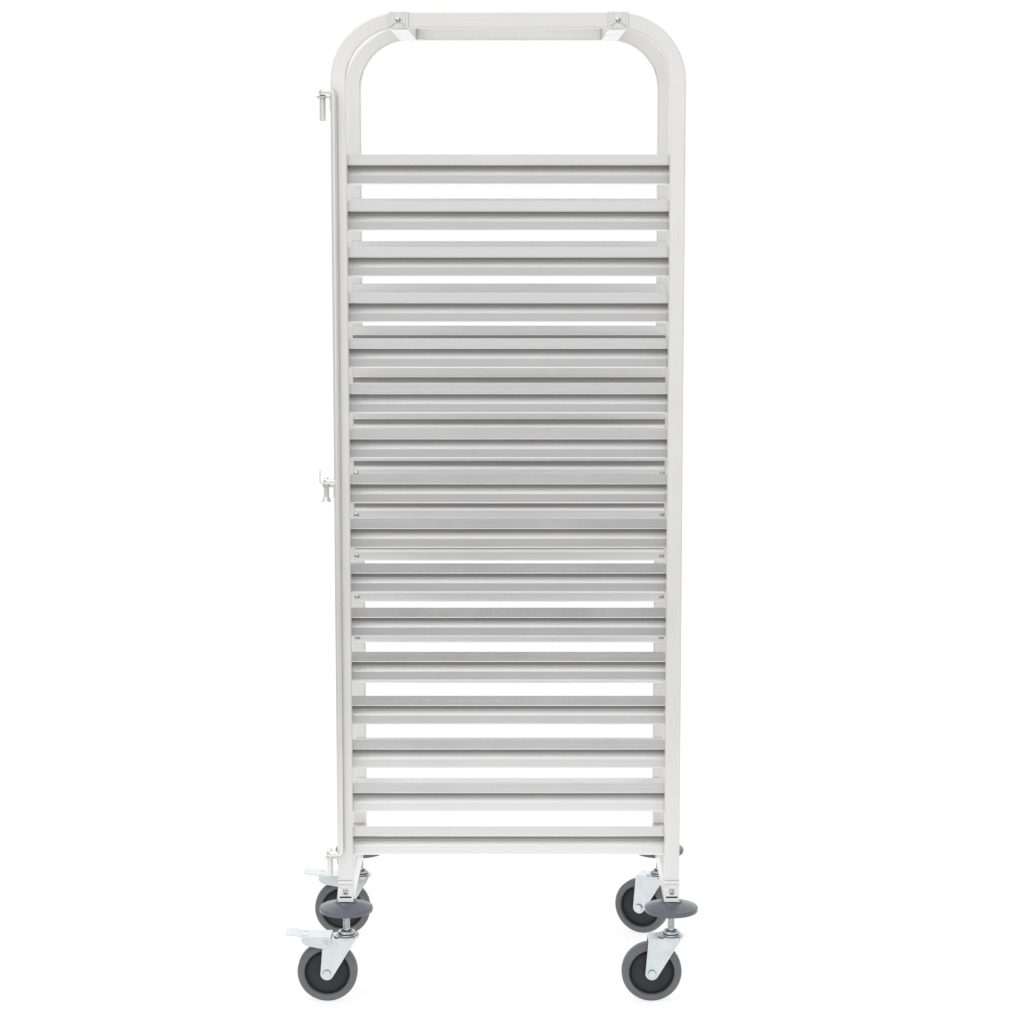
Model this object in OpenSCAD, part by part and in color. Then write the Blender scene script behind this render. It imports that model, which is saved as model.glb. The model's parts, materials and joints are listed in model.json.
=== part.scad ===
// Rack trolley for 325 mm wide trays: two bent tube hoops, sixteen levels of pressed rails,
// four swivel casters with bumper discs, and a swinging bar that keeps the trays in.
// +Z is up and the floor is z = 0. The front, where trays go in, is -X; left and right are as seen from there.

/* [Frame] */
// Height of the hoops' top face above the floor
rack_h = 1650; // [1500:1:1800]
// Depth over the posts, front to rear
rack_d = 574; // [540:1:640]
// Width over the two hoops
rack_w = 380; // [378:1:400]
// Side of the square tube
tube = 25; // [25:1:30]
// Wall of the square tube
tube_wall = 1.5; // [1:0.1:2]
// Outer radius of the hoops' top corners
hoop_bend = 110; // [80:1:150]
// Height of the posts' lower ends
post_foot_z = 175; // [174:1:180]

/* [Rails] */
// Levels of rails
levels = 16; // [8:1:16]
// Distance from one level to the next
pitch = 75; // [70:1:80]
// Lower edge of the lowest rail
rail_z = 249; // [235:1:255]
// Height of a rail
rail_h = 49; // [45:1:52]
// How far a ledge stands inward from the posts
ledge = 12; // [10:0.5:14]
// Sheet thickness of the rails
rail_t = 1.2; // [1:0.1:1.5]
// How far the rails' ends stay behind the posts' outer faces
rail_inset = 9; // [5:1:12]

/* [Crossbars] */
// Distance between the two top crossbars
top_bar_gap = 354; // [300:1:360]
// Width of a top crossbar's end saddle
saddle_w = 32; // [28:1:36]
// Sheet thickness of the crossbars
bar_t = 1.5; // [1.2:0.1:2]
// Height of a bottom crossbar
low_bar_h = 38; // [34:1:42]

/* [Casters] */
// Diameter of the wheels
wheel_d = 101.6; // [100:0.1:102]
// Width of the tyres
wheel_w = 25; // [22:1:26]
// Distance from the swivel axis back to the wheel's axle
trail = 32.5; // [30:0.5:35]
// Top face of the fork's crown
crown_z = 112; // [111:0.5:113]
// Diameter of the threaded stems
stem_d = 11; // [10:0.5:12]
// Diameter of the bumper discs
bumper_d = 90; // [80:1:100]
// Turn of the rear left caster as the trolley stands
parked_turn = 24; // [0:1:24]

/* [Retaining bar] */
// Diameter of the bar's rod
rod_d = 10; // [9:0.5:10]
// Distance of the bar's hinge line in front of the post
hinge_out = 14.6; // [14.6:0.2:18]
// Height of the bar's upper arm
top_arm_z = 1523; // [1480:1:1530]
// Height of the bar's lower arm
low_arm_z = 259; // [258:1:270]
// Height of the bar's middle arm
mid_arm_z = 889; // [800:1:950]

/* [Hidden] */
$fn = 48;
fit_gap = 0.05;
loose_gap = 0.3;
post_x = (rack_d - tube) / 2;
post_y = (rack_w - tube) / 2;
inner_y = rack_w / 2 - tube;
pedal_reach = 103;
// The origin is the middle of the whole box, so the frame stands a little behind it.
frame_x = (pedal_reach - bumper_d / 2) / 2;

// Rails
rail_len = rack_d - 2 * rail_inset;
rail_band = 16;
ledge_v = 31.5;
nose_h = 9;
rail_bend = 1.6;
screw_v = 8;
rail_screw_r = 2.4;

// Crossbars
top_bar_w = 29;
top_bar_low = rack_h - tube - 1;
strap_t = 1.2;
rib_x = 9.3;
rib_w = 4;
arch_r = 11;
bar_screw_r = 3;
low_screw_z = post_foot_z + 18;
top_screw_z = rack_h - tube / 2;
drain_z = post_foot_z + 8;
tongue_z = post_foot_z + 23.5;
tongue_h = 6;
tongue_r = 17;
tongue_out = 1.2;
socket_r = 2.2;
socket_h = 1.1;

// Casters, in millimetres from the floor under the swivel axis
axle_z = wheel_d / 2;
axle_r = 4;
pin_r = 5;
fork_in = 15;
fork_t = 2.5;
crown_r = 20.5;
leg_r = 11;
leg_front = -38.5;
leg_rear = 15;
core_r = 38.2;
hub_half = 14.5;
race_r = 21.75;
race_h = 5;
flange_r = 14.3;
pedal_pivot = [-trail + 0.5, 105];
pedal_t = 1.5;
pedal_in = fork_in + fork_t + loose_gap;
pedal_z = crown_z + 2;
rivet_r = 3;
rivet_bore = 2.1;
insert_h = 12;
bumper_top = post_foot_z - bar_t;
bumper_low = 149;
rim_high = 162.7;
rim_low = 156;

// Retaining bar, measured from the middle of the frame
rod_r = rod_d / 2;
rod_bend = 6;
hinge_x = -rack_d / 2 - hinge_out;
hinge_y = -inner_y - 7;
run_x = -rack_d / 2 + 5;
run_y = -rack_w / 2 - 2 - rod_r;
eye_t = 3;
eye_r = 9.5;
eye_gap = 0.08;
mid_pin_r = 4.5;
mid_eye_top = mid_arm_z - 8.5;

STAINLESS = [0.86, 0.86, 0.84];
ZINC = [0.82, 0.85, 0.87];
GREY_RUBBER = [0.47, 0.48, 0.5];
CHARCOAL = [0.2, 0.22, 0.23];

LEVELS = [for (i = [1:levels]) str("rail_pair_", i < 10 ? "0" : "", i)];
CORNERS = ["front_right", "front_left", "rear_right", "rear_left"];
CORNER_PARTS = ["bumper_", "stem_", "fork_", "bearing_cap_", "axle_", "wheel_core_", "tyre_"];
CASTER_NODES = [for (part = CORNER_PARTS) for (c = CORNERS) str(part, c)];
FRAME_NODES = ["right_hoop", "left_hoop", "top_crossbar_front", "top_crossbar_rear",
    "bottom_crossbar_front", "bottom_crossbar_rear"];
SMALL_NODES = ["rail_screws", "crossbar_screws", "foot_inserts"];
PEDAL_NODES = ["brake_pedal_front_right", "brake_pedal_front_left"];
BAR_NODES = ["bar_bracket_top", "bar_bracket_middle", "bar_bracket_bottom", "retaining_bar", "bar_clip"];

function unit(v) = v / norm(v);
function left_of(v) = [-v.y, v.x];
function turned(v, a) = [v.x * cos(a) - v.y * sin(a), v.x * sin(a) + v.y * cos(a)];

// Point where the straight line from p touches a circle, on its left (side = 1) or right (side = -1).
function touch(p, centre, r, side) =
    let (v = centre - p, reach = sqrt(v * v - r * r))
    p + reach * unit(turned(v, side * asin(r / norm(v))));

// One rounded bend of a sheet: [point, direction] pairs from the first straight to the next.
function bend_steps(a, b, c, r, n) =
    let (d = unit(b - a), e = unit(c - b), angle = atan2(cross(d, e), d * e), s = sign(angle))
    let (centre = b - d * r * tan(abs(angle) / 2) + s * r * left_of(d))
    [for (i = [0:n]) let (w = turned(d, angle * i / n)) [centre - s * r * left_of(w), w]];

function sheet_steps(path, r, n) =
    let (last = len(path) - 1)
    concat(
        [[path[0], unit(path[1] - path[0])]],
        [for (i = [1:last - 1]) each bend_steps(path[i - 1], path[i], path[i + 1], r, n)],
        [[path[last], unit(path[last] - path[last - 1])]]
    );

// Outline of bent sheet metal of thickness t, lying on the left of the path, with bends of radius r.
module sheet(path, t, r) {
    steps = sheet_steps(path, r, 4);
    near = [for (s = steps) s[0]];
    far = [for (i = [len(steps) - 1:-1:0]) steps[i][0] + t * left_of(steps[i][1])];
    polygon(concat(near, far));
}

// Round rod through points joined by square corners, bent at each corner.
module bent_rod(points, r, bend) {
    last = len(points) - 1;
    for (i = [0:last - 1]) {
        d = unit(points[i + 1] - points[i]);
        start = points[i] + (i == 0 ? 0 : bend) * d;
        end = points[i + 1] - (i == last - 1 ? 0 : bend) * d;
        rod_piece(start, end, r);
    }
    for (i = [1:last - 1]) elbow(points[i - 1], points[i], points[i + 1], r, bend);
}

module rod_piece(start, end, r) {
    d = end - start;
    turn = [0, acos(d.z / norm(d)), atan2(d.y, d.x)];
    translate(start) rotate(turn) cylinder(h = norm(d), r = r);
}

module elbow(a, b, c, r, bend) {
    in = unit(b - a);
    out = unit(c - b);
    side = cross(-out, in);
    centre = b + bend * (out - in);
    multmatrix([
        [-out.x, in.x, side.x, centre.x],
        [-out.y, in.y, side.y, centre.y],
        [-out.z, in.z, side.z, centre.z],
        [0, 0, 0, 1]
    ]) rotate_extrude(angle = 90) translate([bend, 0]) circle(r);
}

// Shape drawn in the X-Z plane, given a thickness along Y from y_low.
module across(y_low, width) {
    translate([0, y_low + width, 0]) rotate([90, 0, 0]) linear_extrude(width) children();
}

// Shape drawn in the Y-Z plane, given a thickness along X from x_low.
module along(x_low, width) {
    translate([x_low, 0, 0]) rotate([90, 0, 90]) linear_extrude(width) children();
}

module at_frame() { translate([frame_x, 0, 0]) children(); }

module rounded_square(side, r) {
    square([side - 2 * r, side], center = true);
    square([side, side - 2 * r], center = true);
    for (x = [-1, 1]) for (y = [-1, 1]) translate([x, y] * (side / 2 - r)) circle(r);
}

module tube_section() {
    difference() {
        rounded_square(tube, 2.5);
        rounded_square(tube - 2 * tube_wall, 1);
    }
}

/* Hoops */

module half_hoop() {
    bend_x = rack_d / 2 - hoop_bend;
    bend_z = rack_h - hoop_bend;
    mid_bend = hoop_bend - tube / 2;
    translate([post_x, 0, post_foot_z]) linear_extrude(bend_z - post_foot_z) tube_section();
    translate([bend_x, 0, bend_z]) rotate([90, 0, 0]) rotate_extrude(angle = 90) translate([mid_bend, 0])
        tube_section();
    translate([0, 0, rack_h - tube / 2]) rotate([90, 0, 90]) linear_extrude(bend_x) tube_section();
}

// side is -1 for the right hoop and 1 for the left one
module hoop(side) {
    color(STAINLESS) at_frame() translate([0, side * post_y, 0]) difference() {
        union() {
            half_hoop();
            mirror([1, 0, 0]) half_hoop();
        }
        for (x = [-1, 1]) {
            for (i = [0:levels - 1]) translate([x * post_x, 0, rail_z + i * pitch + screw_v])
                wall_hole(-side, rail_screw_r + fit_gap);
            translate([x * top_bar_gap / 2, 0, top_screw_z]) wall_hole(side, bar_screw_r + fit_gap);
            translate([x * post_x, 0, low_screw_z]) wall_hole(side, bar_screw_r + fit_gap);
            translate([x * post_x, side * tube / 2, drain_z]) drain_slot(2 * tube_wall + 1);
        }
    }
}

// Hole through one wall of the tube: the wall on the +Y side for side = 1, on the -Y side for -1.
module wall_hole(side, r) {
    rotate([-90 * side, 0, 0]) cylinder(h = tube, r = r);
}

module drain_slot(depth) {
    across(-depth / 2, depth) {
        square([17.2, 2.9], center = true);
        for (x = [-1, 1]) translate([x * 8.6, 0]) circle(1.45);
    }
}

/* Crossbars */

// Saddle strap over the top tube and down its outer face, in the Y-Z plane.
module top_strap() {
    outer = rack_w / 2;
    path = [[inner_y - 14, rack_h], [outer, rack_h], [outer, rack_h - tube + 2]];
    sheet(path, strap_t, 0.2);
}

module top_end() {
    difference() {
        union() {
            along(-saddle_w / 2, saddle_w) top_strap();
            for (x = [-1, 1]) translate([x * rib_x - rib_w / 2, rack_w / 2 + 0.5, rack_h - tube + 2])
                cube([rib_w, strap_t + 0.4, tube - 3]);
            translate([0, 0, rack_h - tube / 2]) along(-saddle_w / 2, saddle_w)
                translate([inner_y - 14, tube / 2 - 2]) square([13.5, 2]);
        }
        translate([0, rack_w / 2 - 1, top_screw_z]) rotate([-90, 0, 0])
            cylinder(h = 6, r = bar_screw_r + fit_gap);
        // arched lower edge of the strap
        translate([0, 0, rack_h - tube + 2]) across(rack_w / 2 - 1, 6) scale([1, 0.6]) circle(arch_r);
    }
}

module top_crossbar(x) {
    bar_h = rack_h - top_bar_low;
    color(STAINLESS) at_frame() translate([x, 0, 0]) {
        difference() {
            translate([-top_bar_w / 2, -inner_y, top_bar_low]) cube([top_bar_w, 2 * inner_y, bar_h]);
            translate([-top_bar_w / 2 + bar_t, -inner_y - 1, top_bar_low + bar_t])
                cube([top_bar_w - 2 * bar_t, 2 * inner_y + 2, bar_h - 2 * bar_t]);
        }
        for (side = [0, 1]) mirror([0, side, 0]) top_end();
    }
}

// Strap from the channel's floor, under the post's foot and up its outer face, in the Y-Z plane.
module low_strap() {
    outer = rack_w / 2;
    path = [[outer, post_foot_z + low_bar_h - bar_t], [outer, post_foot_z], [inner_y - 20, post_foot_z]];
    sheet(path, bar_t, 0.2);
}

module low_end() {
    difference() {
        union() {
            along(-tube / 2, tube) low_strap();
            // raised tongue with a round lower edge, above the screw
            translate([0, rack_w / 2 + bar_t - 0.1, tongue_z]) across(0, tongue_out) intersection() {
                translate([0, tongue_r]) circle(tongue_r);
                translate([-tube / 2, 0]) square([tube, tongue_h]);
            }
        }
        translate([0, rack_w / 2 - 1, low_screw_z]) rotate([-90, 0, 0])
            cylinder(h = 6, r = bar_screw_r + fit_gap);
        // pressed V between the screw and the drain slot
        translate([0, 0, post_foot_z + 11]) across(rack_w / 2 + bar_t - 0.8, 2)
            polygon([[-5.3, 4], [-5.3, 2.6], [0, 0], [5.3, 2.6], [5.3, 4], [0, 1.8]]);
        translate([0, rack_w / 2, drain_z]) drain_slot(8);
        translate([0, post_y, post_foot_z - 5]) cylinder(h = 10, r = stem_d / 2 + fit_gap);
    }
}

module bottom_crossbar(x) {
    color(STAINLESS) at_frame() translate([x, 0, 0]) {
        difference() {
            translate([-tube / 2, -inner_y, post_foot_z - bar_t]) cube([tube, 2 * inner_y, low_bar_h]);
            translate([-tube / 2 + bar_t, -inner_y - 1, post_foot_z - bar_t - 1])
                cube([tube - 2 * bar_t, 2 * inner_y + 2, low_bar_h - bar_t + 1]);
        }
        for (side = [0, 1]) mirror([0, side, 0]) low_end();
    }
}

/* Rails */

// Section of the right rail: u runs inward from the post, v up from the lower edge.
module rail_section() {
    slope_v = ledge_v - nose_h;
    path = [[0, rail_h], [0, ledge_v], [ledge, ledge_v], [ledge, slope_v], [0, rail_band], [0, 0]];
    sheet(path, rail_t, rail_bend);
}

module rail(z) {
    translate([0, -inner_y, z]) difference() {
        along(-rail_len / 2, rail_len) rail_section();
        for (x = [-1, 1]) translate([x * post_x, -1, screw_v]) rotate([-90, 0, 0])
            cylinder(h = rail_t + 2, r = rail_screw_r + fit_gap);
    }
}

module rail_pair(level) {
    z = rail_z + (level - 1) * pitch;
    color(STAINLESS) at_frame() {
        rail(z);
        mirror([0, 1, 0]) rail(z);
    }
}

/* Screws and inserts */

// Screw along +Y with its head's underside at y = 0 and a six-sided socket in its head.
module screw(r, shank, head_r, head_h) {
    rotate([-90, 0, 0]) cylinder(h = shank, r = r);
    rotate([90, 0, 0]) difference() {
        rotate_extrude() intersection() {
            square([head_r, head_h]);
            translate([0, head_h - head_r * 1.6]) circle(head_r * 1.6);
        }
        translate([0, 0, head_h - socket_h]) cylinder(h = 2, r = socket_r, $fn = 6);
    }
}

module rail_screws() {
    color(STAINLESS) at_frame() for (side = [0, 1]) mirror([0, side, 0]) for (x = [-1, 1])
        for (i = [0:levels - 1]) translate([x * post_x, -inner_y + rail_t, rail_z + i * pitch + screw_v])
            rotate([0, 0, 180]) screw(rail_screw_r, 7, 4.5, 2);
}

module crossbar_screws() {
    color(STAINLESS) at_frame() for (side = [0, 1]) mirror([0, side, 0]) for (x = [-1, 1]) {
        translate([x * top_bar_gap / 2, -rack_w / 2 - strap_t, top_screw_z])
            screw(bar_screw_r, 7, 4.2, 1.8);
        translate([x * post_x, -rack_w / 2 - bar_t, low_screw_z])
            screw(bar_screw_r, 7, 4.4, 2.4);
    }
}

module foot_inserts() {
    side = tube - 2 * tube_wall - 0.2;
    color(CHARCOAL) at_frame() for (x = [-1, 1]) for (y = [-1, 1])
        translate([x * post_x, y * post_y, post_foot_z + 1]) linear_extrude(insert_h) difference() {
            rounded_square(side, 1);
            circle(stem_d / 2 + fit_gap);
        }
}

/* Casters: each part is drawn about its swivel axis, trailing towards -X */

// x is -1 at the front and 1 at the rear; y is -1 on the right and 1 on the left
module at_corner(x, y) {
    at_frame() translate([x * post_x, y * post_y, 0]) children();
}

// Turned as the caster stands at rest
module at_caster(x, y) {
    at_corner(x, y) rotate([0, 0, x == 1 && y == 1 ? -parked_turn : 0]) children();
}

// Disc with a cone-shaped top, an upright rim and a hollow that draws in to its foot
module bumper() {
    r = bumper_d / 2;
    bore = stem_d / 2 + fit_gap;
    boss = [[bore, bumper_top], [16, bumper_top], [19, bumper_top - 2.5]];
    rim = [[r - 1, rim_high + 0.4], [r, rim_high - 0.6], [r, rim_low + 0.6], [r - 1, rim_low]];
    under = [[r - 14, rim_low - 3.5], [12, bumper_low], [bore, bumper_low]];
    color(GREY_RUBBER) rotate_extrude() polygon(concat(boss, rim, under));
}

module stem() {
    flange_z = crown_z + race_h + loose_gap;
    cup_z = flange_z + 1;
    color(ZINC) {
        translate([0, 0, cup_z]) cylinder(h = post_foot_z + insert_h - cup_z, r = stem_d / 2);
        // flange with a rounded rim and a cup round the stem
        translate([0, 0, flange_z]) rotate_extrude() polygon([
            [0, 0], [flange_r - 1, 0], [flange_r, 1], [flange_r, 2.6], [flange_r - 0.9, 3.9],
            [flange_r - 2.6, 4.6], [9.8, 4.4], [9, 3.4], [9, 1.5], [0, 1.5]
        ]);
        translate([0, 0, crown_z - fork_t - 1]) cylinder(h = flange_z - crown_z + fork_t + 1, r = pin_r);
        translate([0, 0, crown_z - fork_t - loose_gap - 3]) cylinder(h = 3, r = 8);
    }
}

module bearing_cap() {
    bore = pin_r + fit_gap;
    shell = [
        [race_r - 0.8, 0], [race_r, 0.8], [race_r, 1.8], [race_r - 1.4, 2.8], [race_r - 4.2, 2.8],
        [race_r - 5, 4.4], [race_r - 6, race_h]
    ];
    color(ZINC) translate([0, 0, crown_z]) rotate_extrude() polygon(concat([[bore, 0]], shell, [[bore, race_h]]));
}

// Outline of one leg of the fork, in the X-Z plane
module leg_outline() {
    axle = [-trail, axle_z];
    front = [leg_front, crown_z];
    rear = [leg_rear, crown_z - 4];
    front_edge = touch(front, axle, leg_r, -1);
    rear_edge = touch(rear, axle, leg_r, 1);
    polygon([front, front_edge, axle, rear_edge, rear, [leg_rear, crown_z]]);
    translate(axle) circle(leg_r);
}

module fork(braked) {
    color(ZINC) difference() {
        union() {
            translate([0, 0, crown_z - fork_t]) linear_extrude(fork_t) {
                circle(crown_r);
                translate([leg_front, -fork_in - fork_t])
                    square([leg_rear - leg_front, 2 * (fork_in + fork_t)]);
            }
            across(fork_in, fork_t) leg_outline();
            across(-fork_in - fork_t, fork_t) leg_outline();
            if (!braked) translate([leg_front, -fork_in - fork_t, crown_z - 7])
                cube([fork_t, 2 * (fork_in + fork_t), 7]);
        }
        cylinder(h = wheel_d * 2, r = pin_r + fit_gap);
        translate([-trail, -50, axle_z]) rotate([-90, 0, 0]) cylinder(h = 100, r = axle_r + fit_gap);
        if (braked) translate([pedal_pivot.x, -50, pedal_pivot.y]) rotate([-90, 0, 0])
            cylinder(h = 100, r = rivet_r + fit_gap);
    }
}

module axle() {
    face = fork_in + fork_t;
    color(ZINC) translate([-trail, 0, axle_z]) {
        translate([0, -face, 0]) rotate([-90, 0, 0]) cylinder(h = 2 * face, r = axle_r);
        translate([0, -face - 4, 0]) rotate([-90, 0, 0]) cylinder(h = 4, r = 7, $fn = 6);
        translate([0, face, 0]) rotate([-90, 0, 0]) cylinder(h = 5, r = 7, $fn = 6);
    }
}

// Wheel parts are turned about the axle
module at_axle() { translate([-trail, 0, axle_z]) rotate([90, 0, 0]) children(); }

module wheel_core() {
    lip = wheel_w / 2 - 1.5;
    bore = axle_r + fit_gap;
    hub = [[hub_half, bore], [hub_half, 8.5], [lip - 3.5, 11]];
    half = concat(hub, [[lip - 4.5, 33.8], [lip - 6, 34.6], [lip - 6, core_r]]);
    right = [for (p = half) [p.y, p.x]];
    left = [for (i = [5:-1:0]) [half[i].y, -half[i].x]];
    color(CHARCOAL) at_axle() rotate_extrude($fn = 96) polygon(concat(right, left));
}

module tyre() {
    r = wheel_d / 2;
    w = wheel_w / 2;
    crown = [for (i = [-6:6]) let (a = i * 12, corner = abs(i) == 6 ? 1 : 0)
        [r - 3 * (1 - cos(a)) - corner, w * sin(a) / sin(72)]];
    color(GREY_RUBBER) at_axle() rotate_extrude($fn = 96) polygon(concat(
        [[core_r, -w + 1.5], [core_r + 1.5, -w]], crown, [[core_r + 1.5, w], [core_r, w - 1.5]]
    ));
}

// Side flange of the brake pedal, in the X-Z plane
module pedal_side() {
    polygon([
        [-25, pedal_z + pedal_t], [-74, pedal_z + pedal_t], [-75.5, 109], [-72, 103.5], [-66, 100],
        [-41, 95], [-31, 97], [-25, 103]
    ]);
}

module pedal_plate() {
    sheet([[-25, pedal_z], [-74, pedal_z], [-84, pedal_z + 3], [-pedal_reach, pedal_z + 4.5]], -pedal_t, 3);
}

module brake_pedal() {
    outer = pedal_in + pedal_t;
    color(ZINC) {
        difference() {
            union() {
                intersection() {
                    across(-outer, 2 * outer) pedal_plate();
                    translate([0, 0, pedal_z - 5]) linear_extrude(20) {
                        translate([-pedal_reach + 8, -outer]) square([pedal_reach, 2 * outer]);
                        translate([-pedal_reach, -outer + 8]) square([pedal_reach, 2 * outer - 16]);
                        for (y = [-1, 1]) translate([8 - pedal_reach, y * (outer - 8)]) circle(8);
                    }
                }
                across(pedal_in, pedal_t) pedal_side();
                across(-outer, pedal_t) pedal_side();
                // shoe that comes down on the tyre
                translate([-50, -12, 103.3]) cube([6, 24, pedal_z - 103.3 + 0.5]);
            }
            for (y = [-1, 1]) translate([-70, y * 13, pedal_z - 5]) linear_extrude(20)
                square([9, 2.5], center = true);
        }
        // hollow rivet that the pedal turns on
        translate([pedal_pivot.x, -outer - 0.8, pedal_pivot.y]) rotate([-90, 0, 0]) difference() {
            union() {
                cylinder(h = 2 * outer + 1.6, r = rivet_r);
                cylinder(h = 1.2, r = 4.6);
                translate([0, 0, 2 * outer + 0.4]) cylinder(h = 1.2, r = 4.6);
            }
            translate([0, 0, -1]) cylinder(h = 5, r = rivet_bore);
            translate([0, 0, 2 * outer - 2.4]) cylinder(h = 5, r = rivet_bore);
        }
    }
}

/* Retaining bar */

module eye_bracket(eye_top, plate_low, plate_high, front_r, pin_r_here) {
    face = -rack_d / 2;
    base_t = 2.5;
    width = 14;
    color(STAINLESS) at_frame() {
        translate([0, hinge_y, eye_top - eye_t]) linear_extrude(eye_t) difference() {
            union() {
                translate([hinge_x, 0]) circle(front_r);
                translate([hinge_x, -width / 2]) square([hinge_out, width]);
            }
            translate([hinge_x, 0]) circle(pin_r_here + eye_gap);
        }
        translate([face - base_t, hinge_y - width / 2, plate_low])
            cube([base_t, width, plate_high - plate_low]);
    }
}

module bar_bracket_top() {
    eye_top = top_arm_z - rod_bend - 0.3;
    eye_bracket(eye_top, eye_top - 24, eye_top, eye_r, rod_r);
}

module bar_bracket_middle() {
    eye_bracket(mid_eye_top, mid_eye_top - 20, mid_eye_top, 6.5, mid_pin_r);
}

module bar_bracket_bottom() {
    eye_top = low_arm_z - rod_bend - 4;
    eye_bracket(eye_top, eye_top - 12, eye_top, eye_r, rod_r);
}

module retaining_bar() {
    top_pin_end = top_arm_z - 46;
    low_pin_end = low_arm_z - 43;
    mid_pin_end = mid_arm_z - 28;
    color(STAINLESS) at_frame() {
        bent_rod([
            [hinge_x, hinge_y, low_pin_end], [hinge_x, hinge_y, low_arm_z], [hinge_x, run_y, low_arm_z],
            [run_x, run_y, low_arm_z], [run_x, run_y, top_arm_z], [hinge_x, run_y, top_arm_z],
            [hinge_x, hinge_y, top_arm_z], [hinge_x, hinge_y, top_pin_end]
        ], rod_r, rod_bend);
        bent_rod([
            [hinge_x, hinge_y, mid_arm_z], [hinge_x, run_y, mid_arm_z], [run_x, run_y, mid_arm_z]
        ], mid_pin_r, rod_bend);
        mid_pin_top = mid_arm_z + mid_pin_r;
        translate([hinge_x, hinge_y, mid_pin_end]) cylinder(h = mid_pin_top - mid_pin_end, r = mid_pin_r);
        // flared foot of the middle pin
        translate([hinge_x, hinge_y, mid_pin_end - 8]) cylinder(h = 8, r1 = 8, r2 = mid_pin_r);
    }
}

module bar_clip() {
    ring_z = mid_eye_top + 0.6;
    wire_r = 1;
    wire_out = 10.4;
    color(STAINLESS) at_frame() translate([hinge_x, hinge_y, 0]) {
        translate([0, 0, ring_z]) linear_extrude(2.6) difference() {
            circle(7);
            circle(mid_pin_r + fit_gap);
        }
        wire_z = ring_z + 1.3;
        bent_rod([[-5.8, 0, wire_z], [-wire_out, 0, wire_z], [-wire_out, 0, ring_z + 24]], wire_r, 3);
    }
}

module corner_part(name, x, y) {
    if (name == "bumper_") at_corner(x, y) bumper();
    if (name == "stem_") at_corner(x, y) stem();
    if (name == "fork_") at_caster(x, y) fork(x == -1);
    if (name == "bearing_cap_") at_caster(x, y) bearing_cap();
    if (name == "axle_") at_caster(x, y) axle();
    if (name == "wheel_core_") at_caster(x, y) wheel_core();
    if (name == "tyre_") at_caster(x, y) tyre();
}

hoop(-1);  // right_hoop
hoop(1);  // left_hoop
top_crossbar(-top_bar_gap / 2);  // top_crossbar_front
top_crossbar(top_bar_gap / 2);  // top_crossbar_rear
bottom_crossbar(-post_x);  // bottom_crossbar_front
bottom_crossbar(post_x);  // bottom_crossbar_rear
for (i = [1:levels]) rail_pair(i);
rail_screws();
crossbar_screws();
foot_inserts();
for (part = CORNER_PARTS) for (i = [0:3])
    corner_part(part, i < 2 ? -1 : 1, i % 2 == 0 ? -1 : 1);
at_caster(-1, -1) brake_pedal();  // brake_pedal_front_right
at_caster(-1, 1) brake_pedal();  // brake_pedal_front_left
bar_bracket_top();
bar_bracket_middle();
bar_bracket_bottom();
retaining_bar();
bar_clip();
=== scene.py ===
"""Looks of the tray rack: camera, light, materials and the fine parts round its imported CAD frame.

Everything is in metres, +Z up, the floor at z = 0. The front of the rack is -X, and the camera
looks along +Y at its right side.
"""

import json
import math

import bmesh
import bpy
from mathutils import Matrix, Vector


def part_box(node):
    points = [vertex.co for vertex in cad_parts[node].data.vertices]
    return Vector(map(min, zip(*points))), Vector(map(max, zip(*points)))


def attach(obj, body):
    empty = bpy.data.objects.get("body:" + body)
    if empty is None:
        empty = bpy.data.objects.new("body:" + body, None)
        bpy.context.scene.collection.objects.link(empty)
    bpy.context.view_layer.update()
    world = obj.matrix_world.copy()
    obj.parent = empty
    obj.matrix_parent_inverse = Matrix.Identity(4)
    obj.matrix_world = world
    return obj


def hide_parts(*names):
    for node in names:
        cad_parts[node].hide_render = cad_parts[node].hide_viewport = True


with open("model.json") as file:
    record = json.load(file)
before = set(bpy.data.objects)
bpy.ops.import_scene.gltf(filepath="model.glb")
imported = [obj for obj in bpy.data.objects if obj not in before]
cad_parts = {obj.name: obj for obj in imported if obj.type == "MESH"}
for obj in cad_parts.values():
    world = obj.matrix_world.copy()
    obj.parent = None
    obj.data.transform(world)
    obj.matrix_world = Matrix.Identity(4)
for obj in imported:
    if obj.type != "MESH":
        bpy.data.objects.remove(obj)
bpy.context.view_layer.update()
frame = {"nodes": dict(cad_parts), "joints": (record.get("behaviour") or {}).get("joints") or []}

MM = 0.001
CORNERS = ["front_right", "front_left", "rear_right", "rear_left"]
JOINTS = {joint["name"]: joint for joint in frame["joints"]}
NODES = frame["nodes"]
RAILS = sorted(name for name in NODES if name.startswith("rail_pair_"))
CROSSBARS = [name for name in NODES if "_crossbar_" in name]
PEDALS = [name for name in NODES if name.startswith("brake_pedal_")]

HOOP_LOW, HOOP_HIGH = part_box("right_hoop")
FRAME_X = (HOOP_LOW.x + HOOP_HIGH.x) / 2
RACK_H = HOOP_HIGH.z
POST_IN = -HOOP_HIGH.y  # from the middle plane to a hoop's inner face
HOOP_BEND = 110 * MM
RAIL_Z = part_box(RAILS[0])[0].z
RAIL_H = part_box(RAILS[0])[1].z - RAIL_Z
RAIL_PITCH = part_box(RAILS[1])[0].z - RAIL_Z
CORE_R = 38.2 * MM

DOME_R = 14
FINE_GRAIN = 900  # brush lines per metre, counted across the grain


# ---------------------------------------------------------------- camera and light

def make_camera():
    """Camera near the top of the rack's height, looking down a little."""
    tilt_down = math.radians(7.09)
    data = bpy.data.cameras.new("camera")
    data.sensor_width = 36
    data.lens = 84.75
    data.shift_x = -0.0068
    data.shift_y = -0.04
    camera = bpy.data.objects.new("camera", data)
    camera.location = (0.0463, -4.13, 1.396)
    camera.rotation_euler = (math.pi / 2 - tilt_down, 0, 0)
    bpy.context.scene.collection.objects.link(camera)
    bpy.context.scene.camera = camera


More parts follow.
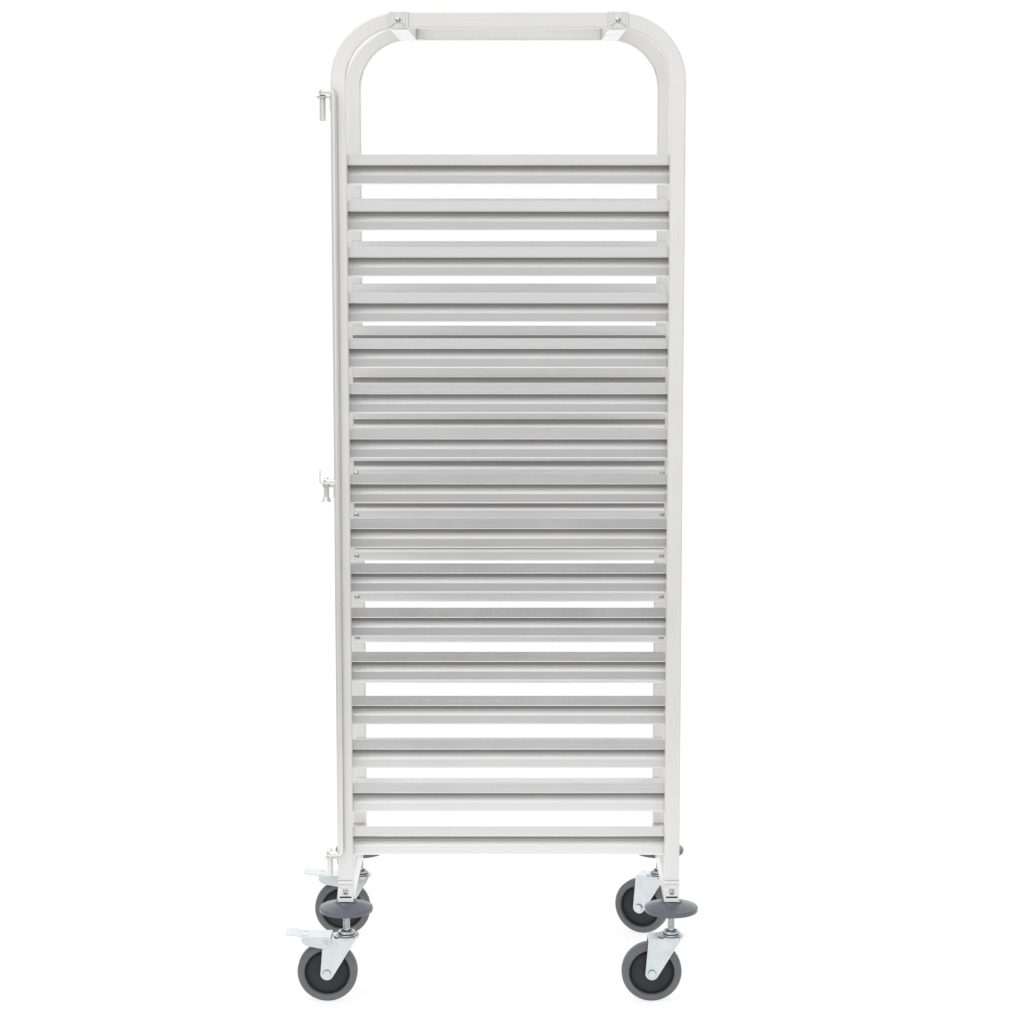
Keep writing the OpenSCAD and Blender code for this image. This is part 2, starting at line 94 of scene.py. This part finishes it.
def area_light(name, place, target, size, power):
    """Soft square light that faces its target."""
    data = bpy.data.lights.new(name, "AREA")
    data.shape = "SQUARE"
    data.size = size
    data.energy = power
    light = bpy.data.objects.new(name, data)
    light.location = place
    light.rotation_euler = (Vector(target) - Vector(place)).to_track_quat("-Z", "Y").to_euler()
    bpy.context.scene.collection.objects.link(light)


def reflected_only(card):
    """A studio card that only shows as a reflection in shiny surfaces."""
    card.visible_camera = False
    card.visible_diffuse = False
    card.visible_transmission = False
    card.visible_volume_scatter = False
    card.visible_shadow = False


def from_middle(paint):
    """Distance from the vertical line through the origin."""
    x, y, _ = paint.split(paint.place)
    return paint.length(x, y)


def above_floor(paint):
    """Height above the floor."""
    return paint.split(paint.place)[2]


def glow_material(name, measure, stops):
    """Glowing studio surface, brighter towards +Y and dimmer to the sides.

    The stops are (metres, strength) along what measure returns.
    """
    back_glow = 1.25
    back_from, back_full = 3, 6
    sides_from, sides_full, sides_share = 4, 10, 0.4
    paint = Paint(name)
    emit = paint.add("ShaderNodeEmission")
    paint.show(emit)
    span = stops[-1][0]
    scaled = [(at / span, glow) for at, glow in stops]
    front_glow = paint.greys(paint.math("DIVIDE", measure(paint), span), scaled)
    x, y, _ = paint.split(paint.place)
    back = paint.remap(y, back_from, back_full, 0.0, 1.0, smooth=True)
    front = paint.math("MULTIPLY", front_glow, paint.math("SUBTRACT", 1.0, back))
    sides = paint.remap(
        paint.math("ABSOLUTE", x), sides_from, sides_full, 1.0, sides_share, smooth=True)
    strength = paint.math("MULTIPLY", sides, paint.math("MULTIPLY_ADD", back, back_glow, front))
    paint.join(strength, emit.inputs["Strength"])
    return paint.material


def floor_material():
    """White floor: it takes a faint shadow near the rack and is evenly lit further out."""
    shadow_r, lit_r = 0.3, 1.1
    paint = Paint("studio_floor", colour=(0.93, 0.93, 0.93), rough=0.8)
    glow = paint.add("ShaderNodeEmission")
    glow.inputs["Strength"].default_value = 1.05
    mix = paint.add("ShaderNodeMixShader")
    lit_share = paint.remap(from_middle(paint), shadow_r, lit_r, 0.75, 1.0, smooth=True)
    paint.join(lit_share, mix.inputs[0])
    paint.join(paint.shader.outputs[0], mix.inputs[1])
    paint.join(glow.outputs[0], mix.inputs[2])
    paint.show(mix)
    return paint.material


def make_floor():
    """Square floor that shiny surfaces don't mirror."""
    half = 30
    corners = [(-half, -half, 0), (half, -half, 0), (half, half, 0), (-half, half, 0)]
    floor = mesh_object("floor", corners, [(0, 1, 2, 3)])
    floor.data.materials.append(floor_material())
    floor.visible_glossy = False
    return floor


def make_glow_floor():
    """Disc that the steel mirrors in place of the floor, dimmest 3 to 5 m out."""
    steps = 64
    off_floor = 3 * MM
    rim = [polar(DOME_R, angle, off_floor) for angle in circle_angles(steps)]
    disc = mesh_object("floor_glow", rim, [tuple(range(steps))])
    disc.data.materials.append(glow_material("floor_glow", from_middle, [
        (0, 1.1), (1.0, 1.05), (1.45, 0.72), (1.9, 0.55), (2.4, 0.42), (3.0, 0.28), (4.8, 0.28),
        (5.8, 0.46), (11, 0.52), (DOME_R, 0.72)]))
    reflected_only(disc)
    return disc


def make_dome():
    """Half sphere that the steel mirrors, a little brighter towards its top."""
    steps = 64
    rings = 8
    points, faces = [], []
    for ring in range(rings):
        tilt = math.pi / 2 * ring / rings
        r, height = DOME_R * math.cos(tilt), DOME_R * math.sin(tilt)
        points += [polar(r, angle, height) for angle in circle_angles(steps)]
    for ring in range(rings - 1):
        faces += band(ring * steps, (ring + 1) * steps, steps)
    faces.append(tuple(range((rings - 1) * steps, rings * steps)))
    dome = mesh_object("dome_glow", points, faces)
    stops = [(0, 0.82), (2.5, 0.84), (8, 0.92), (DOME_R, 0.95)]
    dome.data.materials.append(glow_material("dome_glow", above_floor, stops))
    reflected_only(dome)
    return dome


def make_stage():
    """White floor, and the unseen glowing floor and dome that the steel mirrors."""
    floor = make_floor()
    glow_floor = make_glow_floor()
    dome = make_dome()


def make_light():
    """Even white surroundings with one soft light above."""
    scene = bpy.context.scene
    scene.view_settings.view_transform = "Standard"
    world = bpy.data.worlds.new("studio")
    world.use_nodes = True
    world.node_tree.nodes["Background"].inputs["Color"].default_value = (1, 1, 1, 1)
    world.node_tree.nodes["Background"].inputs["Strength"].default_value = 1.0
    scene.world = world
    area_light("top_light", place=(-1.8, -2.2, 4.0), target=(0, 0, 0.6), size=2.4, power=32)


# ---------------------------------------------------------------- materials

class Paint:
    """A material and short calls that add nodes to it."""

    def __init__(self, name, colour=(0.8, 0.8, 0.8), metallic=0.0, rough=0.5):
        self.material = bpy.data.materials.new(name)
        self.material.use_nodes = True
        self.tree = self.material.node_tree
        self.shader = self.tree.nodes["Principled BSDF"]
        self.colour = self.shader.inputs["Base Color"]
        self.rough = self.shader.inputs["Roughness"]
        self.colour.default_value = (*colour, 1)
        self.shader.inputs["Metallic"].default_value = metallic
        self.rough.default_value = rough
        self.place = self.add("ShaderNodeTexCoord").outputs["Object"]

    def add(self, kind, **settings):
        """New node with these properties."""
        node = self.tree.nodes.new(kind)
        for key, value in settings.items():
            setattr(node, key, value)
        return node

    def join(self, value, socket):
        """Links an output to a socket, or sets the socket to a constant."""
        if isinstance(value, bpy.types.NodeSocket):
            self.tree.links.new(value, socket)
        else:
            socket.default_value = value

    def show(self, shader):
        """Makes this shader node the material's surface."""
        self.join(shader.outputs[0], self.tree.nodes["Material Output"].inputs["Surface"])

    def math(self, operation, *values):
        """Result of a Math node."""
        node = self.add("ShaderNodeMath", operation=operation)
        for value, socket in zip(values, node.inputs):
            self.join(value, socket)
        return node.outputs[0]

    def length(self, a, b):
        """Length of the vector (a, b)."""
        return self.math("SQRT", self.math("MULTIPLY_ADD", a, a, self.math("MULTIPLY", b, b)))

    def split(self, vector):
        """The x, y and z of a vector."""
        node = self.add("ShaderNodeSeparateXYZ")
        self.join(vector, node.inputs[0])
        return node.outputs[:3]

    def pack(self, x, y, z):
        """Vector from its x, y and z."""
        node = self.add("ShaderNodeCombineXYZ")
        for value, socket in zip((x, y, z), node.inputs):
            self.join(value, socket)
        return node.outputs[0]

    def noise(self, place, scale, detail, roughness=0.5):
        """Cloudy noise from 0 to 1."""
        node = self.add("ShaderNodeTexNoise")
        self.join(place, node.inputs["Vector"])
        node.inputs["Scale"].default_value = scale
        node.inputs["Detail"].default_value = detail
        node.inputs["Roughness"].default_value = roughness
        return node.outputs["Fac"]

    def remap(self, value, low, high, to_low, to_high, smooth=False):
        """Value moved from one range to another, and held at its ends."""
        kind = "SMOOTHSTEP" if smooth else "LINEAR"
        node = self.add("ShaderNodeMapRange", interpolation_type=kind)
        for item, socket in zip((value, low, high, to_low, to_high), node.inputs):
            self.join(item, socket)
        return node.outputs[0]

    def ramp(self, value, stops):
        """Ramp of colours, from (position, colour) stops."""
        node = self.add("ShaderNodeValToRGB")
        elements = node.color_ramp.elements
        elements[0].position, elements[1].position = stops[0][0], stops[-1][0]
        elements[0].color, elements[1].color = (*stops[0][1], 1), (*stops[-1][1], 1)
        for at, colour in stops[1:-1]:
            elements.new(at).color = (*colour, 1)
        self.join(value, node.inputs[0])
        return node.outputs[0]

    def greys(self, value, stops):
        """Ramp of greys, from (position, brightness) stops."""
        return self.ramp(value, [(at, [grey] * 3) for at, grey in stops])

    def times(self, colour, factor):
        """Colour made darker or lighter by a number that varies over the surface."""
        node = self.add("ShaderNodeVectorMath", operation="SCALE")
        self.join(colour, node.inputs[0])
        self.join(factor, node.inputs["Scale"])
        return node.outputs[0]

    def bump(self, height, depth):
        """Shading relief of a height from 0 to 1, over that depth in metres."""
        node = self.add("ShaderNodeBump")
        node.inputs["Strength"].default_value = 1.0
        node.inputs["Distance"].default_value = depth
        self.join(height, node.inputs["Height"])
        self.join(node.outputs[0], self.shader.inputs["Normal"])

    def blend(self, share, under, over):
        """Two colours mixed by a share from 0 to 1."""
        node = self.add("ShaderNodeMix", data_type="RGBA")
        self.join(share, node.inputs["Factor"])
        colour_a, colour_b = node.inputs[6:8]
        self.join(under, colour_a)
        self.join(over, colour_b)
        return node.outputs[2]

    def painted_crevice_shade(self, colour, reach, darkest):
        """Colour with painted shade that darkens it in gaps and corners narrower than reach."""
        node = self.add("ShaderNodeAmbientOcclusion", samples=6)
        node.inputs["Distance"].default_value = reach
        return self.times(colour, self.remap(node.outputs["AO"], 0.15, 0.85, darkest, 1.0))


def brushed(paint, grain_place, colour, rough, darkest, grain=0.04, cloud=0.04, reach=7 * MM,
            relief=0.012 * MM):
    """Brushed steel: fine lines along the piece, faint clouds of handling, and painted shade in seams and
    corners.
    """
    lines = paint.noise(grain_place, 1.0, detail=4, roughness=0.65)
    marks = paint.noise(paint.place, 9, detail=4, roughness=0.6)
    line_shade = paint.remap(lines, 0.3, 0.7, -grain, grain)
    mark_shade = paint.remap(marks, 0.3, 0.7, -cloud / 2, cloud / 2)
    shade = paint.math("ADD", line_shade, mark_shade)
    tone = paint.times(colour, paint.math("ADD", 1.0, shade))
    # painted shade: the colour darkens in gaps and corners within reach
    paint.join(paint.painted_crevice_shade(tone, reach, darkest), paint.colour)
    line_rough = paint.remap(lines, 0.3, 0.7, rough - 0.03, rough + 0.03)
    mark_rough = paint.remap(marks, 0.3, 0.7, -cloud, cloud)
    paint.join(paint.math("ADD", line_rough, mark_rough), paint.rough)
    paint.bump(lines, relief)


def stretched(paint, along, coarse=6):
    """Object coordinates with a fine grain across the piece and a long one along the named axis."""
    scales = [coarse if axis == along else FINE_GRAIN for axis in "xyz"]
    scaled = [paint.math("MULTIPLY", *pair) for pair in zip(paint.split(paint.place), scales)]
    return paint.pack(*scaled)


def hoop_steel():
    """Satin tube with painted shade, a little darker at the top. The grain runs up the posts, round the
    bends and over.
    """
    paint = Paint("hoop_steel", metallic=0.35)
    long_grain = 5
    bend_x = (HOOP_HIGH.x - HOOP_LOW.x) / 2 - HOOP_BEND
    bend_z = RACK_H - HOOP_BEND
    x, y, z = paint.split(paint.place)
    out = paint.math("ABSOLUTE", paint.math("SUBTRACT", x, FRAME_X))
    past_x = paint.math("MAXIMUM", paint.math("SUBTRACT", out, bend_x), 0.0)
    past_z = paint.math("MAXIMUM", paint.math("SUBTRACT", z, bend_z), 0.0)
    radius = paint.length(past_x, past_z)
    run = paint.math("SUBTRACT", paint.math("MINIMUM", z, bend_z), paint.math("MINIMUM", out, bend_x))
    grain_place = paint.pack(
        paint.math("MULTIPLY", radius, FINE_GRAIN),
        paint.math("MULTIPLY", y, FINE_GRAIN),
        paint.math("MULTIPLY", run, long_grain))
    # painted shade: the tube's colour is darkened from the bends up to the top
    tone = paint.times((0.785, 0.78, 0.77), paint.remap(z, bend_z, RACK_H, 1.0, 0.93))
    brushed(paint, grain_place, tone, rough=0.36, darkest=0.25)
    return paint.material


def rail_steel():
    """Bright rolled sheet, with painted highlights on its bends and painted reflection tones on its flat
    bands, brighter on the lower rails. The groove behind each ledge is dull and painted in shade, darkest
    under the ledge, and the slope below it is painted bright.
    """
    paint = Paint("rail_steel")
    _, y, z = paint.split(paint.place)
    depth = paint.math("SUBTRACT", POST_IN, paint.math("ABSOLUTE", y))
    height = paint.math("FLOORED_MODULO", paint.math("SUBTRACT", z, RAIL_Z), RAIL_PITCH)
    part = paint.math("DIVIDE", height, RAIL_H)
    in_groove = paint.remap(depth, 8.5 * MM, 9.8 * MM, 0.0, 1.0)
    off_post = paint.remap(depth, 0.5 * MM, 2 * MM, 0.0, 1.0)

    def bands(lower_band):
        """Tones up the rail: painted highlights on the bends, and dimmer painted reflection tones on the
        flat bands below and above the ledge.
        """
        bend_highlight, upper_band = 0.97, 0.82
        return paint.greys(part, [
            (0, bend_highlight), (0.03, bend_highlight), (0.05, lower_band), (0.31, lower_band), (0.35, bend_highlight), (0.6, bend_highlight),
            (0.68, upper_band), (1, upper_band)])

    # painted reflection: the lower rails' flat bands are brighter, as if mirroring the near floor
    floor_reflection_share = paint.remap(z, RAIL_Z + 1.3 * RAIL_PITCH, RAIL_Z + 5 * RAIL_PITCH, 1.0, 0.0, smooth=True)
    face = paint.blend(floor_reflection_share, bands(0.57), bands(0.82))
    # painted highlight: the slope below the groove is coloured near white
    slope_highlight = paint.math("MULTIPLY", off_post, paint.remap(part, 0.41, 0.45, 1.0, 0.0))
    # painted shade: the groove back is coloured dark, darkest right under the ledge
    groove_shade = paint.ramp(part, [
        (0.44, (0.85, 0.84, 0.83)), (0.47, (0.5, 0.49, 0.48)), (0.5, (0.32, 0.31, 0.3)),
        (0.64, (0.19, 0.185, 0.18))])
    sheet = paint.blend(slope_highlight, face, (0.97, 0.97, 0.965, 1))
    metallic = paint.math(
        "SUBTRACT", paint.remap(part, 0.33, 0.36, 0.45, 0.85), paint.math("MULTIPLY", off_post, 0.6))
    paint.join(metallic, paint.shader.inputs["Metallic"])
    colour = paint.blend(in_groove, sheet, groove_shade)
    brushed(paint, stretched(paint, "x", coarse=4), colour, rough=0.2, darkest=0.85, grain=0.03, cloud=0.03)
    return paint.material


def sheet_steel(name, along, colour=(0.8, 0.8, 0.795), rough=0.28, metallic=0.7):
    """Fine brushed steel with its grain along the named axis, and painted shade in gaps and corners."""
    paint = Paint(name, metallic=metallic)
    brushed(paint, stretched(paint, along), colour, rough, darkest=0.15, grain=0.02, cloud=0.03,
            reach=4 * MM, relief=0.004 * MM)
    return paint.material


def zinc():
    """Bright zinc plate, a little blue, with soft clouds and painted shade in gaps and corners."""
    paint = Paint("zinc_plate", metallic=0.9)
    clouds = paint.noise(paint.place, 45, detail=3)
    tint = paint.ramp(clouds, [(0.35, (0.62, 0.67, 0.69)), (0.65, (0.7, 0.74, 0.76))])
    # painted shade: the tint darkens in gaps and corners within 4 mm
    paint.join(paint.painted_crevice_shade(tint, 4 * MM, 0.3), paint.colour)
    paint.join(paint.remap(clouds, 0.3, 0.7, 0.2, 0.28), paint.rough)
    paint.bump(clouds, 0.03 * MM)
    return paint.material


def moulded(name, dark, light, rough, shine=0.5):
    """Moulded plastic or rubber: mottled colour, painted shade in recesses and a fine skin texture."""
    paint = Paint(name)
    paint.shader.inputs["Specular IOR Level"].default_value = shine
    cloud = paint.noise(paint.place, 30, detail=4)
    skin = paint.noise(paint.place, 400, detail=3)
    # painted shade: the mottled colour darkens in recesses within 8 mm
    paint.join(paint.painted_crevice_shade(paint.ramp(cloud, [(0.3, dark), (0.7, light)]), 8 * MM, 0.35), paint.colour)
    paint.join(paint.remap(cloud, 0.3, 0.7, rough - 0.05, rough + 0.05), paint.rough)
    paint.bump(skin, 0.04 * MM)
    return paint.material


def paint_nodes(names, material):
    """Gives CAD parts their finish."""
    for name in names:
        slots = NODES[name].data.materials
        slots.clear()
        slots.append(material)


def soften_edges(names, width):
    """Fine rounding on the sharp edges of CAD parts."""
    for name in names:
        bevel = NODES[name].modifiers.new("edge_rounding", "BEVEL")
        bevel.width = width
        bevel.segments = 2
        bevel.limit_method = "ANGLE"
        bevel.angle_limit = math.radians(40)
        bevel.harden_normals = True


# ---------------------------------------------------------------- mesh helpers

def circle_angles(steps):
    """Evenly spaced angles round a full turn."""
    return [2 * math.pi * i / steps for i in range(steps)]


def polar(r, angle, height):
    """Point at an angle round the Z axis."""
    return Vector((r * math.cos(angle), r * math.sin(angle), height))


def band(low, high, count):
    """Faces between two rings of that many points, from the index of each ring's first point."""
    return [(low + i, low + (i + 1) % count, high + (i + 1) % count, high + i) for i in range(count)]


def mesh_object(name, points, faces):
    """New object in the scene from points and faces."""
    mesh = bpy.data.meshes.new(name)
    mesh.from_pydata([tuple(point) for point in points], [], faces)
    mesh.update()
    thing = bpy.data.objects.new(name, mesh)
    bpy.context.scene.collection.objects.link(thing)
    return thing


def finish_piece(thing, body, material, smooth_angle):
    """Closes a new piece: outward faces, smooth shading up to an angle, its finish and its body."""
    shape = bmesh.new()
    shape.from_mesh(thing.data)
    bmesh.ops.recalc_face_normals(shape, faces=shape.faces)
    shape.to_mesh(thing.data)
    shape.free()
    thing.data.shade_smooth()
    thing.data.set_sharp_from_angle(angle=math.radians(smooth_angle))
    thing.data.materials.append(material)
    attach(thing, body)


def rounded(points, radii, steps):
    """A closed outline with each corner turned into an arc of its radius."""
    outline = []
    for i, (point, radius) in enumerate(zip(points, radii)):
        corner = Vector(point)
        if radius == 0:
            outline.append(corner)
            continue
        back = (Vector(points[i - 1]) - corner).normalized()
        on = (Vector(points[(i + 1) % len(points)]) - corner).normalized()
        half = back.angle(on) / 2
        start = corner + back * radius / math.tan(half)
        end = corner + on * radius / math.tan(half)
        centre = corner + (back + on).normalized() * radius / math.sin(half)
        turn = (start - centre).angle_signed(end - centre)
        for k in range(steps + 1):
            arm = (start - centre).to_3d()
            arm.rotate(Matrix.Rotation(-turn * k / steps, 3, "Z"))
            outline.append(centre + arm.to_2d())
    return outline


def lathe(name, outline, place, steps=96):
    """Solid turned about the Z axis of place, from a closed outline of (radius, height) points."""
    count = len(outline)
    points, faces = [], []
    for step, angle in enumerate(circle_angles(steps)):
        points += [place @ polar(r, angle, height) for r, height in outline]
        faces += band(step * count, (step + 1) % steps * count, count)
    return mesh_object(name, points, faces)


def wheel_place(corner):
    """Middle of a wheel, with Z along its axle."""
    spin = JOINTS["spin_" + corner]
    turn = Vector(spin["axis"]).to_track_quat("Z", "Y").to_matrix().to_4x4()
    return Matrix.Translation(spin["pos_m"]) @ turn


def corner_place(corner):
    """Point on the floor under a caster's swivel axis."""
    x, y, _ = JOINTS["swivel_" + corner]["pos_m"]
    return Matrix.Translation((x, y, 0))


# ---------------------------------------------------------------- casters

def both_sides(half):
    """Outline of (radius, height) points, from its upper half."""
    return half + [(r, -height) for r, height in reversed(half)]


def make_tyre(corner, material):
    """Tyre with a crowned tread and a small step where it meets the core."""
    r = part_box("tyre_" + corner)[1].z / 2
    side = 12.5 * MM
    step = 1.4 * MM
    half = [
        (CORE_R, side - 1.7 * MM), (CORE_R + step, side), (r - 3.6 * MM, side), (r, side - 5.5 * MM)]
    radii = [0, 1.2 * MM, 4 * MM, 4.5 * MM]
    outline = rounded(both_sides(half), radii + radii[::-1], steps=6)
    tyre = lathe("tyre_shape_" + corner, outline, wheel_place(corner), steps=128)
    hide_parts("tyre_" + corner)
    finish_piece(tyre, "wheel_" + corner, material, 50)


def make_core(corner, material):
    """Moulded wheel core: hub, hub step, dished web with a fine ring, and a sunk rim."""
    # radius, height and corner radius in millimetres, from the bore outwards
    profile = [
        (4.05, 14.5, 0.3), (8.5, 14.5, 0.8), (9.3, 11, 0.8), (12.5, 10, 0.8), (13.5, 7.4, 1.2),
        (30, 6.6, 0.3), (30.4, 7.1, 0.2), (31.2, 7.1, 0.2), (31.6, 6.5, 0.3),
        (33.8, 6.8, 0.5), (34.5, 5, 0.3), (CORE_R / MM, 5, 0)]
    half = [(r * MM, height * MM) for r, height, _ in profile]
    radii = [corner_r * MM for _, _, corner_r in profile]
    outline = rounded(both_sides(half), radii + radii[::-1], steps=3)
    core = lathe("core_shape_" + corner, outline, wheel_place(corner))
    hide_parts("wheel_core_" + corner)
    finish_piece(core, "wheel_" + corner, material, 50)


def make_bumper(corner, material):
    """Rubber disc: cone-shaped top with a boss, upright rim, and an underside that draws in."""
    low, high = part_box("bumper_" + corner)
    r = (high.x - low.x) / 2
    bore = 5.7 * MM
    rim_low, rim_high = 156 * MM, 163 * MM
    corners = [
        (bore, low.z), (bore, high.z), (17 * MM, high.z), (19 * MM, high.z - 2.4 * MM),
        (30 * MM, high.z - 5.3 * MM), (r, rim_high), (r, rim_low), (r - 14 * MM, rim_low - 3.6 * MM),
        (12 * MM, low.z)]
    radii = [0, 0, 1.2 * MM, 1.2 * MM, 25 * MM, 1.4 * MM, 1.2 * MM, 12 * MM, 1 * MM]
    bumper = lathe("bumper_shape_" + corner, rounded(corners, radii, steps=6), corner_place(corner))
    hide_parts("bumper_" + corner)
    finish_piece(bumper, "rack", material, 30)


def make_stem_thread(corner, material):
    """Thread on the stem, from the cup up to the bumper."""
    root, crest, pitch = 5.3 * MM, 6.0 * MM, 1.5 * MM
    ridge = [(root, 0), (crest, pitch * 0.42), (root, pitch * 0.84)]
    start, end = 124.6 * MM, 148.6 * MM
    turn_steps = 24
    steps = int(((end - start) / pitch - 1) * turn_steps)
    place = corner_place(corner)
    points, faces = [], []
    for step in range(steps + 1):
        angle = 2 * math.pi * step / turn_steps
        lift = start + pitch * step / turn_steps
        points += [place @ polar(r, angle, lift + rise) for r, rise in ridge]
    for step in range(steps):
        faces += band(3 * step, 3 * step + 3, 3)
    faces += [(0, 1, 2), (3 * steps, 3 * steps + 1, 3 * steps + 2)]
    thread = mesh_object("stem_thread_" + corner, points, faces)
    finish_piece(thread, "rack", material, 20)


# ---------------------------------------------------------------- whole scene

make_camera()
make_light()
make_stage()

HOOP_STEEL = hoop_steel()
RAIL_STEEL = rail_steel()
CROSSBAR_STEEL = sheet_steel("crossbar_steel", "y")
BRACKET_STEEL = sheet_steel("bracket_steel", "z", rough=0.32)
ROD_STEEL = sheet_steel("rod_steel", "z", (0.83, 0.83, 0.82), rough=0.24, metallic=0.55)
SCREW_STEEL = sheet_steel("screw_steel", "y", (0.68, 0.68, 0.68), rough=0.2, metallic=1.0)
ZINC_PLATE = zinc()
BUMPER_RUBBER = moulded("bumper_rubber", (0.095, 0.102, 0.132), (0.12, 0.127, 0.16), rough=0.24, shine=0.6)
TYRE_RUBBER = moulded("tyre_rubber", (0.12, 0.122, 0.126), (0.145, 0.148, 0.152), rough=0.48, shine=0.4)
CORE_PLASTIC = moulded("core_plastic", (0.02, 0.023, 0.027), (0.028, 0.031, 0.036), rough=0.5, shine=0.3)
INSERT_PLASTIC = moulded("insert_plastic", (0.03, 0.03, 0.032), (0.045, 0.045, 0.048), rough=0.5)

paint_nodes(["right_hoop", "left_hoop"], HOOP_STEEL)
paint_nodes(RAILS, RAIL_STEEL)
paint_nodes(CROSSBARS, CROSSBAR_STEEL)
paint_nodes([name for name in NODES if name.startswith("bar_bracket")], BRACKET_STEEL)
paint_nodes(["retaining_bar", "bar_clip"], ROD_STEEL)
paint_nodes(["rail_screws", "crossbar_screws"], SCREW_STEEL)
paint_nodes(["foot_inserts"], INSERT_PLASTIC)
for part in ("stem_", "fork_", "bearing_cap_", "axle_"):
    paint_nodes([part + corner for corner in CORNERS], ZINC_PLATE)
paint_nodes(PEDALS, ZINC_PLATE)

soften_edges(["fork_" + corner for corner in CORNERS] + PEDALS, 0.9 * MM)
soften_edges(CROSSBARS, 0.35 * MM)

for corner in CORNERS:
    make_tyre(corner, TYRE_RUBBER)
    make_core(corner, CORE_PLASTIC)
    make_bumper(corner, BUMPER_RUBBER)
    make_stem_thread(corner, ZINC_PLATE)
